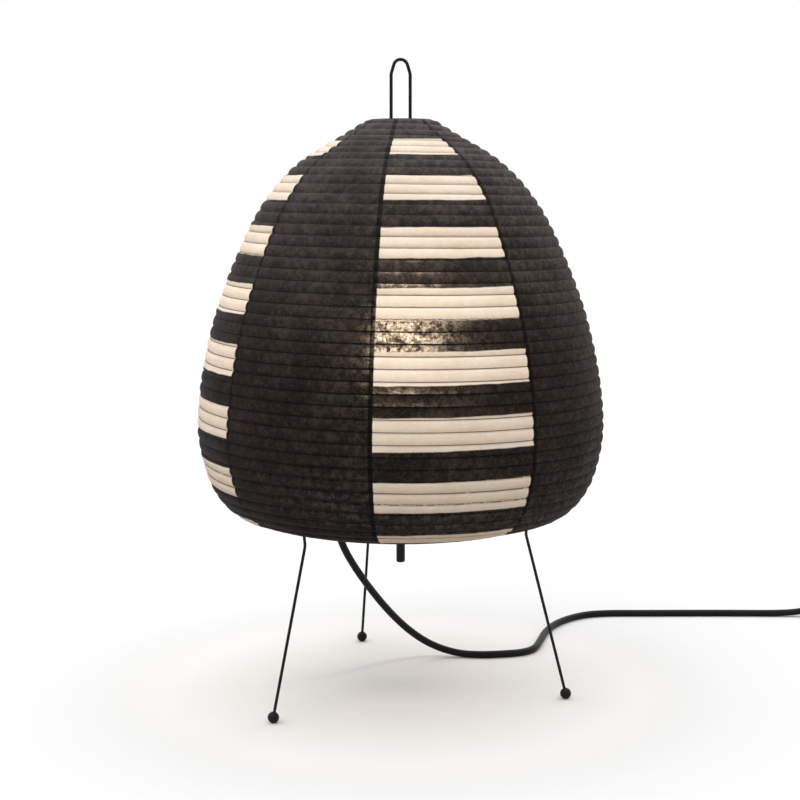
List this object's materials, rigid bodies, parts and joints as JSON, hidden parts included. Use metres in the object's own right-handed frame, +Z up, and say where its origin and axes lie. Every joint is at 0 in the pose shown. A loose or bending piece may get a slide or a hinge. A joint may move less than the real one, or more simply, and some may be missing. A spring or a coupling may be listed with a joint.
{
  "type": "accordion paper lantern",
  "caption": "Table lamp with a ribbed, folding washi paper shade in black and cream stripes over a wire stretcher, on three thin wire legs, with a bulb and a mains lead.",
  "frame": {"origin": "on the table, under the axis of the shade and hub tube", "axes": "+Z up the shade's axis; -Y through the middle of the forward striped gore; +Y through the back leg; the handle loop lies in the XZ plane"},
  "size_m": [0.6442, 0.2765, 0.4286],
  "materials": {
    "black_wire": "satin black enamel",
    "black_paper": "ink-dyed washi",
    "striped_paper": "cream washi with printed black bands",
    "bamboo": "split bamboo",
    "black_plastic": "moulded black",
    "soft_plastic": "soft moulded PVC",
    "cord_sheath": "PVC sheath",
    "zinc_steel": "zinc plated",
    "brass": "stamped",
    "nickel": "nickel plated",
    "opal_glass": "opal, lit",
    "bulb_ceramic": "white"
  },
  "bodies": {
    "stand": {"leg_front_left": "black_wire", "leg_front_right": "black_wire", "leg_back": "black_wire", "foot_front_left": "black_wire", "foot_front_right": "black_wire", "foot_back": "black_wire", "hub_tube": "black_wire", "stretcher_post": "black_wire", "stretcher_wire": "black_wire", "top_cross_bar": "black_wire", "top_ring": "black_wire", "holder_bracket": "black_wire", "holder_screws": "zinc_steel", "holder_base": "black_plastic", "holder_body": "black_plastic", "holder_thread_sleeve": "brass", "holder_centre_contact": "brass", "cord_grip": "soft_plastic", "bamboo_ribs": "bamboo", "cord_lamp_to_switch": "cord_sheath", "cord_switch_to_coil": "cord_sheath", "cord_coil": "cord_sheath", "cord_coil_to_plug": "cord_sheath", "cord_tie": "soft_plastic", "switch_case_lower": "black_plastic", "switch_case_upper": "black_plastic", "switch_pivot_pin": "nickel", "switch_screws": "zinc_steel", "plug_body": "soft_plastic", "plug_pins": "nickel", "striped_gore_back": "striped_paper", "black_gore_back_left": "black_paper", "striped_gore_left": "striped_paper", "black_gore_front_left": "black_paper", "striped_gore_front": "striped_paper", "black_gore_front_right": "black_paper", "striped_gore_right": "striped_paper", "black_gore_back_right": "black_paper"},
    "bottom_ring": {"bottom_ring": "black_wire"},
    "bulb_lift": {"bulb_contact": "nickel"},
    "bulb": {"bulb_glass": "opal_glass", "bulb_cap": "nickel", "bulb_insulator": "bulb_ceramic", "bulb_light_board": "bulb_ceramic"},
    "switch_rocker": {"switch_rocker": "black_plastic"}
  },
  "joints": [
    {"name": "shade_fold", "type": "slide", "parent": "stand", "child": "bottom_ring", "axis": [0, 0, 1], "range_m": [0, 0.24], "deforming": ["striped_gore_back", "black_gore_back_left", "striped_gore_left", "black_gore_front_left", "striped_gore_front", "black_gore_front_right", "striped_gore_right", "black_gore_back_right", "bamboo_ribs"]},
    {"name": "bulb_lift", "type": "slide", "parent": "stand", "child": "bulb_lift", "axis": [0, 0, 1], "range_m": [0, 0.00847]},
    {"name": "bulb_turn", "type": "hinge", "parent": "bulb_lift", "child": "bulb", "pos_m": [0, 0, 0.2], "axis": [0, 0, 1], "range_deg": [0, 1080]},
    {"name": "switch_rock", "type": "hinge", "parent": "stand", "child": "switch_rocker", "pos_m": [0.40301, 0.08491, 0.0118], "axis": [0.2639, 0.9646, 0], "range_deg": [0, 16]}
  ],
  "couplings": [
    {"joint": "bulb_lift", "follows": "bulb_turn", "m_per_rad": 0.00044913}
  ]
}
